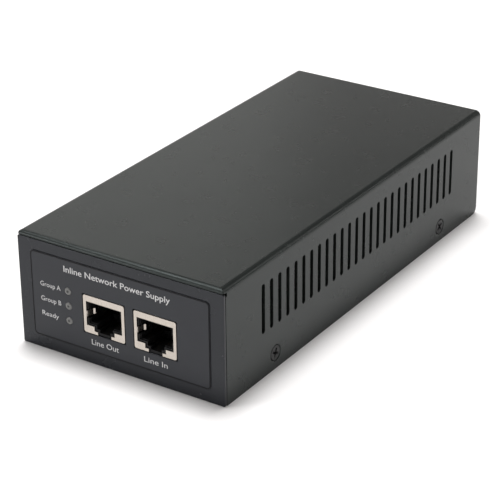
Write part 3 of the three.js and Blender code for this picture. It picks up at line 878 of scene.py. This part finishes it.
def jack_housing(number, material):
    """Moulded body: a chamfered plug cavity with the latch's keyway under it."""
    low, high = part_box(f"jack_{number}_housing")
    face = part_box(f"jack_{number}_shield")[0].y
    x = (low.x + high.x) / 2
    housing = new_object(f"jack_{number}_moulding", block(
        (low.x, high.x), (low.y, high.y), (low.z, high.z)
    ))
    top = 21.8 * MM
    cavity_half = 5.95 * MM
    cavity_low = 14.95 * MM
    cavity_end = face + 13 * MM
    keyway_steps = ((3.2 * MM, 13.25 * MM), (2.1 * MM, 12.2 * MM))
    keyway_end = face + 9 * MM
    mouth = 0.3 * MM
    mouth_end = face + 0.9 * MM
    comb_half = 4.58 * MM
    comb_y = (face + 2.2 * MM, face + 11.6 * MM)
    comb_top = 23.3 * MM
    finger_half = 7.15 * MM
    finger_end = face + 6.2 * MM
    finger_z = (16.5 * MM, 19.4 * MM)
    start = low.y - PAST
    keyway = stepped_outline(x, cavity_half, top, cavity_low, *keyway_steps)
    mouth_half = cavity_half + mouth
    cut(
        housing,
        prism(keyway, Y, start, keyway_end),
        block((x - cavity_half, x + cavity_half), (start, cavity_end), (cavity_low, top)),
        block((x - mouth_half, x + mouth_half), (start, mouth_end),
              (cavity_low - mouth, top + mouth)),
        block((x - comb_half, x + comb_half), comb_y, (top - PAST, comb_top)),
        block((x - finger_half, x + finger_half), (start, finger_end), finger_z),
    )
    soften(housing, 0.12 * MM)
    finish_piece(
        housing, material, stands_for=[f"jack_{number}_housing"]
    )


def jack_contacts(number, material):
    """Eight sprung wires with rounded backs, bent at the strip that carries them."""
    joint = next(j for j in frame["joints"] if j["name"] == f"jack_{number}_contact_flex")
    pivot = Vector(joint["pos_m"])
    wires = 8
    wire_half = 0.23 * MM
    pitch = 1.02 * MM
    reach = 6.6 * MM
    slope = math.radians(22)
    run = math.cos(slope) * reach
    drop = math.sin(slope) * reach
    tail = 1.2 * MM
    strip = 0.4 * MM
    strip_half = wires / 2 * pitch + 0.1 * MM
    comb = new_object(f"jack_{number}_contact_comb", block(
        (pivot.x - strip_half, pivot.x + strip_half),
        (pivot.y - strip, pivot.y + strip),
        (pivot.z - strip, pivot.z + strip),
    ))
    upper = [(0, 0.2 * MM), (run, 0.15 * MM - drop), (run + tail, 0.6 * MM - drop)]
    lower = [(run + tail, 0.3 * MM - drop), (run, -0.15 * MM - drop), (0, -0.1 * MM)]
    outline = [(pivot.y + v, pivot.z + w) for v, w in upper + lower]
    for i in range(wires):
        x = pivot.x + (i - (wires - 1) / 2) * pitch
        join(comb, prism(outline, X, x - wire_half, x + wire_half))
    soften(comb, 0.05 * MM)
    finish_piece(
        comb, material, f"jack_{number}_contact_set",
        [f"jack_{number}_contacts"],
    )


# ---- Lights and screws ----------------------------------------------------------------------


def status_light(node, material):
    """A dished lens, with a wider flange behind the panel."""
    low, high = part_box(node)
    centre = (low + high) / 2
    dish = [(0, 0.24), (0.2, 0.22), (0.34, 0.12), (0.44, 0.02), (0.52, 0), (0.9, 0.02),
            (1.15, 0.07), (1.28, 0.16), (1.35, 0.3)]
    profile = [(radius * MM, -depth * MM) for radius, depth in dish]
    length = high.y - low.y
    flange = (high.x - low.x) / 2
    flange_start = 1.2 * MM - length
    profile += [(LIGHT_RADIUS, flange_start), (flange, flange_start), (flange, -length),
                (0, -length)]
    bm = turned(profile, 32)
    place = Matrix.Translation((centre.x, low.y, centre.z)) @ Matrix.Rotation(math.pi / 2, 4, "X")
    bm.transform(place)
    light = new_object(f"{node}_lens", bm)
    light.data.shade_smooth()
    finish_piece(light, material, stands_for=[node])


def countersunk_screw(node, length, facing, turned_by, material):
    """Flat head with a cross recess, its face at the outer end of the CAD screw."""
    low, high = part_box(node)
    centre = (low + high) / 2
    outward = Vector(facing)
    face = centre + outward * (max((high - low).dot(outward), (low - high).dot(outward)) / 2)
    head = 2.62 * MM
    shank = 1.5 * MM
    rim = 0.12 * MM
    point = 0.3 * MM
    profile = [(0, 0), (head - rim, 0), (head, -rim), (shank, -rim - head + shank),
               (shank, -length + point), (shank - point, -length), (0, -length)]
    screw = new_object(f"{node}_body", turned(profile, 40))
    cut(screw, cross_recess(1.7 * MM, 0.74 * MM, 1.3 * MM))
    soften(screw, 0.05 * MM, 2, 30)
    turn = outward.to_track_quat("Z", "Y").to_matrix().to_4x4()
    spin = Matrix.Rotation(math.radians(turned_by), 4, "Z")
    screw.data.transform(Matrix.Translation(face) @ turn @ spin)
    finish_piece(screw, material, stands_for=[node])


def cross_recess(reach, width, depth):
    """Two crossed wedges that narrow towards their bottom."""
    half_width = width / 2
    bottom = 0.55 * reach
    outline = [(-reach, PAST), (reach, PAST), (reach, 0), (bottom, -depth), (-bottom, -depth),
               (-reach, 0)]
    recess = new_object("recess", prism(outline, Y, -half_width, half_width))
    join(recess, prism(outline, X, -half_width, half_width))
    return taken_mesh(recess)


# ---- Mains inlet ----------------------------------------------------------------------------


def make_inlet(plastic, pin_metal, screw_metal):
    """The mains inlet: its moulding, three blades and two screws."""
    low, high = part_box("inlet_body")
    z = (low.z + high.z) / 2
    face = high.y
    panel = tray_high.y
    flange = rounded_rectangle(low.x, high.x, low.z, high.z, 4 * MM, 8)
    body = new_object("inlet_moulding", prism(flange, Y, panel, face))
    join(body, block(
        (-INLET_HALF, INLET_HALF), (low.y, panel + 0.5 * MM), (z - INLET_RISE, z + INLET_RISE)
    ))
    wide = 12.1 * MM
    rise = 8.1 * MM
    bevel = 4.5 * MM
    recess = [(-wide, z - rise), (wide, z - rise), (wide, z + rise - bevel),
              (wide - bevel, z + rise), (bevel - wide, z + rise), (-wide, z + rise - bevel)]
    recess_floor = 69.2 * MM
    cut(body, prism(recess, Y, recess_floor, face + PAST))
    for number in inlet_screw_numbers:
        centre = centre_of(f"inlet_screw_{number}")
        cut(
            body,
            round_bar(Y, centre.x, centre.z, panel - PAST, face + PAST, INLET_SCREW_HOLE),
            countersink(Y, centre.x, centre.z, face, 1, 1.6 * MM),
        )
    slot_half = 1.1 * MM
    slot_rise = 2.1 * MM
    for name in pin_names:
        centre = centre_of(f"{name}_pin")
        cut(body, block(
            (centre.x - slot_half, centre.x + slot_half), (low.y - PAST, recess_floor + PAST),
            (centre.z - slot_rise, centre.z + slot_rise),
        ))
    soften(body, 0.3 * MM, 3)
    finish_piece(body, plastic, stands_for=["inlet_body"])
    for name in pin_names:
        inlet_pin(name, low.y, pin_metal)
    for number, turned_by in zip(inlet_screw_numbers, inlet_screw_turns):
        countersunk_screw(f"inlet_screw_{number}", 8 * MM, (0, 1, 0), turned_by, screw_metal)


def inlet_pin(name, body_back, material):
    """Flat blade with a tapered nose, and a thinner push-on tab behind the body."""
    low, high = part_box(f"{name}_pin")
    x = (low.x + high.x) / 2
    z = (low.z + high.z) / 2
    blade_half = 1.0 * MM
    blade_rise = 2.0 * MM
    shoulder = body_back - 1.0 * MM
    nose = 1.4 * MM
    outline = [(x - blade_half, shoulder), (x + blade_half, shoulder),
               (x + blade_half, high.y - nose), (x + 0.5 * blade_half, high.y),
               (x - 0.5 * blade_half, high.y), (x - blade_half, high.y - nose)]
    pin = new_object(f"{name}_blade", prism(outline, Z, z - blade_rise, z + blade_rise))
    tab_half = 0.4 * MM
    join(pin, block((x - tab_half, x + tab_half), (low.y, body_back), (low.z, high.z)))
    soften(pin, 0.15 * MM, 2)
    finish_piece(pin, material, stands_for=[f"{name}_pin"])


# ---- Light and floor ------------------------------------------------------------------------

FLOOR_REACH = 30.0
BACKDROP_RADIUS = 8.0
BACKDROP_RISE = 1.2
FLOOR_WHITE = (0.9, 0.885, 0.88)


def matt_white(name, blotch, **values):
    s = Surface(name, 0.9)
    s.set(Specular_IOR_Level=0.0, **values)
    s.mottle(FLOOR_WHITE, blotch, 0.01)
    return s.material


def add_floor():
    bm = bmesh.new()
    reach = FLOOR_REACH
    corners = [(-reach, -reach), (reach, -reach), (reach, reach), (-reach, reach)]
    bm.faces.new([bm.verts.new((x, y, 0)) for x, y in corners])
    floor = new_object("floor", bm)
    floor.data.materials.append(matt_white("floor", 60 * MM))


def add_backdrop():
    """A low ring that stands on the floor and is as bright, for views from near its level."""
    bm = bmesh.new()
    low = [bm.verts.new((x, y, 0)) for x, y in arc(0, 0, BACKDROP_RADIUS, 0, 360, 48)[:-1]]
    high = [bm.verts.new((v.co.x, v.co.y, BACKDROP_RISE)) for v in low]
    for i in range(len(low)):
        bm.faces.new([low[i - 1], low[i], high[i], high[i - 1]])
    ring = new_object("backdrop", bm)
    ring.data.materials.append(matt_white(
        "backdrop", 500 * MM, Emission_Color=(1, 0.99, 0.98, 1), Emission_Strength=0.5
    ))


def add_softbox(name, centre, towards, width, height, radiance, color=(1, 1, 1)):
    """A rectangular soft light, its width kept level, facing a point."""
    data = bpy.data.lights.new(name, "AREA")
    data.shape = "RECTANGLE"
    data.size = width
    data.size_y = height
    data.energy = radiance * math.pi * width * height
    data.color = color
    light = bpy.data.objects.new(name, data)
    scene.collection.objects.link(light)
    light.visible_camera = False
    light.location = centre
    light.rotation_mode = "QUATERNION"
    light.rotation_quaternion = (Vector(towards) - Vector(centre)).to_track_quat("-Z", "Y")


def add_sun(direction, spread, strength):
    """The soft key light: a disc that many degrees across, seen in that direction."""
    data = bpy.data.lights.new("key", "SUN")
    data.angle = math.radians(spread)
    data.energy = strength
    light = bpy.data.objects.new("key", data)
    scene.collection.objects.link(light)
    light.rotation_mode = "QUATERNION"
    light.rotation_quaternion = (-Vector(direction)).to_track_quat("-Z", "Y")


def add_world(brightness, color):
    """An even, dim fill from all round."""
    world = bpy.data.worlds.new("world")
    world.use_nodes = True
    background = world.node_tree.nodes["Background"]
    background.inputs["Color"].default_value = (*color, 1)
    background.inputs["Strength"].default_value = brightness
    scene.world = world


# ---- The object -----------------------------------------------------------------------------

painted = powder_coat("cover_coat", (0.0136, 0.0155, 0.0146), (0.88, 1, 0.985), 0.295)
# The tray's coat is the cover's powder made bluer in colour and in its reflections: a painted cool cast of light
# on the front panel.
tray_paint_cool_cast = powder_coat("tray_coat_cool_cast", (0.0122, 0.0135, 0.0168), (0.93, 0.96, 1), 0.345)
black_plastic = moulded("black_plastic", (0.009, 0.009, 0.0095), 0.52, 0.25 * MM, 0.3)
# The jack housings get a darker, duller copy of the black plastic: painted shade for the inside of the plug
# cavities.
jack_plastic_shaded = moulded("jack_plastic_shaded", (0.0045, 0.0045, 0.005), 0.6, 0.25 * MM, 0.2)
shield_metal = plated("jack_shield", (0.52, 0.475, 0.425), 0.3, Z)
pin_metal = plated("nickel", (0.72, 0.7, 0.66), 0.28, Y)
gold = plated("contact_gold", (0.83, 0.62, 0.28), 0.22, Y)
screw_metal = black_zinc()

SLOT_FINISH = {
    "powder_coat": painted,
    "black_plastic": black_plastic,
    "jack_shield": shield_metal,
    "nickel": pin_metal,
    "contact_gold": gold,
    "black_screw": screw_metal,
    "zinc_steel": streaked_metal("zinc_steel", (0.6, 0.61, 0.62), 0.34, Z),
    "brass": streaked_metal("brass", (0.72, 0.5, 0.2), 0.3, Z),
    "circuit_board": circuit_board(),
    "insulation_sheet": fibrous("insulation_sheet", (0.42, 0.4, 0.33), 0.8),
    "ferrite": moulded("ferrite", (0.03, 0.03, 0.032), 0.7, 0.15 * MM),
    "yellow_tape": winding("yellow_tape", (0.62, 0.4, 0.04), 4.5 * MM, "Z"),
    "copper_wire": winding("copper_wire", (0.45, 0.16, 0.05), 0.9 * MM, "X"),
    "heatsink_aluminium": streaked_metal("heatsink_aluminium", (0.6, 0.61, 0.63), 0.4, Z),
    "capacitor_sleeve": moulded("capacitor_sleeve", (0.012, 0.022, 0.07), 0.3, 0.8 * MM),
    "boxed_film": moulded("boxed_film", (0.5, 0.4, 0.2), 0.5, 0.4 * MM),
    "brown_wire": moulded("brown_wire", (0.12, 0.05, 0.02), 0.45, 0.5 * MM),
    "blue_wire": moulded("blue_wire", (0.02, 0.07, 0.3), 0.45, 0.5 * MM),
    "green_wire": moulded("green_wire", (0.1, 0.28, 0.04), 0.45, 0.5 * MM),
    "label_film": label_film(),
    "light_lens": light_lens([centre_of(node) for node in light_nodes]),
}

for entry in frame["record"]["subparts"]:
    mesh = frame["nodes"][entry["node"]].data
    mesh.materials.clear()
    mesh.materials.append(SLOT_FINISH[entry["material_slot"]])

make_cover(painted)
make_tray(tray_paint_cool_cast)
make_label(SLOT_FINISH["label_film"])
# A dark line round the label's edge, drawn with the same matt material as the words.
add_border(ink("border_line_dark", (0.006, 0.006, 0.007), 0.15))
add_captions(ink("text_ink", (0.62, 0.62, 0.62)))
for jack in jack_numbers:
    jack_shield(jack, shield_metal)
    jack_housing(jack, jack_plastic_shaded)
    jack_contacts(jack, gold)
for node in light_nodes:
    status_light(node, SLOT_FINISH["light_lens"])
for node, turned_by in zip(screw_nodes, screw_turns):
    side = math.copysign(1, centre_of(node).x)
    countersunk_screw(node, 5 * MM, (side, 0, 0), turned_by, screw_metal)
make_inlet(black_plastic, pin_metal, screw_metal)

LIP_CORNER = (0.03, -0.085, 0.04)
LIP_LEFT = (-0.02, -0.085, 0.04)
WARM = (1, 0.95, 0.93)
NEUTRAL = (1, 0.985, 0.96)

add_floor()
add_backdrop()
add_world(0.09, (1, 0.97, 0.95))
add_sun((-0.09, 0.16, 0.983), 21.5, 3.36)
add_softbox("lip_high", (-0.8, -0.29, 1.44), LIP_CORNER, 0.35, 0.35, 5.2)
add_softbox("lip_middle", (-0.79, -0.84, 1.24), LIP_CORNER, 0.3, 0.33, 15.0)
add_softbox("lip_low", (-0.82, -1.29, 0.78), LIP_CORNER, 0.35, 0.35, 2.1)
add_softbox("lip_left", (-0.84, -1.19, 0.14), LIP_LEFT, 0.18, 0.2, 13.0)
add_softbox("left_wall", (-1.0, 1.1, 0.68), (0, 1.1, 0.68), 1.0, 0.95, 0.86, NEUTRAL)
add_softbox("back", (-0.25, 1.6, 0.6), (-0.25, 0, 0.6), 1.5, 0.5, 0.52, WARM)
add_softbox("back_right", (0.9, 1.15, 0.69), (0, 0, 0.04), 0.3, 0.34, 2.6, WARM)
scene.view_settings.view_transform = "Standard"
